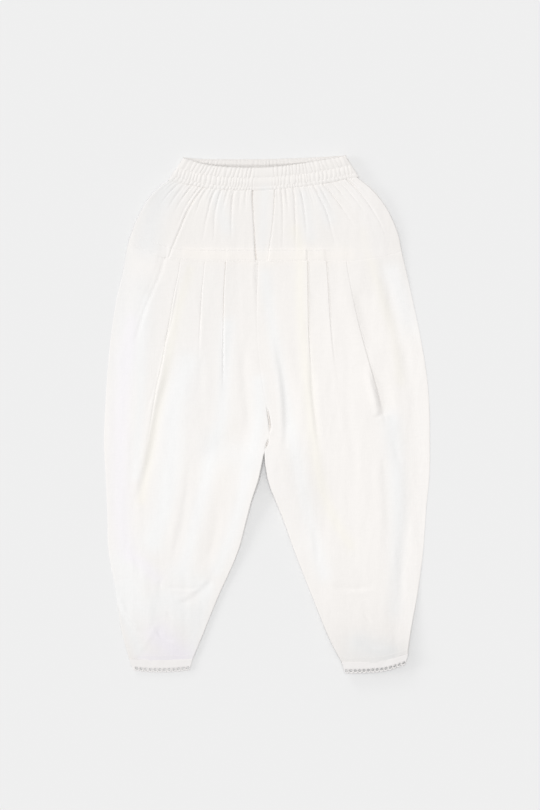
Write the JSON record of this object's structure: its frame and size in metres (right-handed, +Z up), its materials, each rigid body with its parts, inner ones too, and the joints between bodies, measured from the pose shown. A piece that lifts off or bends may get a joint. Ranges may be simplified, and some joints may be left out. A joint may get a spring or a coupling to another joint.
{
  "type": "tulip shalwar laid flat",
  "caption": "Child's tulip shalwar in white cotton, laid flat: elastic waistband, gathered yoke, pleated legs that taper to narrow hems edged with eyelet lace.",
  "frame": {"origin": "on the surface that it lies on, under the middle of the whole garment", "axes": "+X to the wearer's left, +Y from the hems up to the waist, +Z up, out of the front of the garment"},
  "size_m": [0.391, 0.6223, 0.01],
  "materials": {
    "cotton": "plain-weave white cotton, matt, softly creased",
    "lace": "white cotton eyelet lace with a picot edge, matt"
  },
  "bodies": {
    "root": {"waistband_front": "cotton", "waistband_back": "cotton", "yoke_front": "cotton", "yoke_back": "cotton", "leg_right_front": "cotton", "leg_right_back": "cotton", "leg_left_front": "cotton", "leg_left_back": "cotton", "lace_right_front": "lace", "lace_right_back": "lace", "lace_left_front": "lace", "lace_left_back": "lace"}
  },
  "joints": []
}
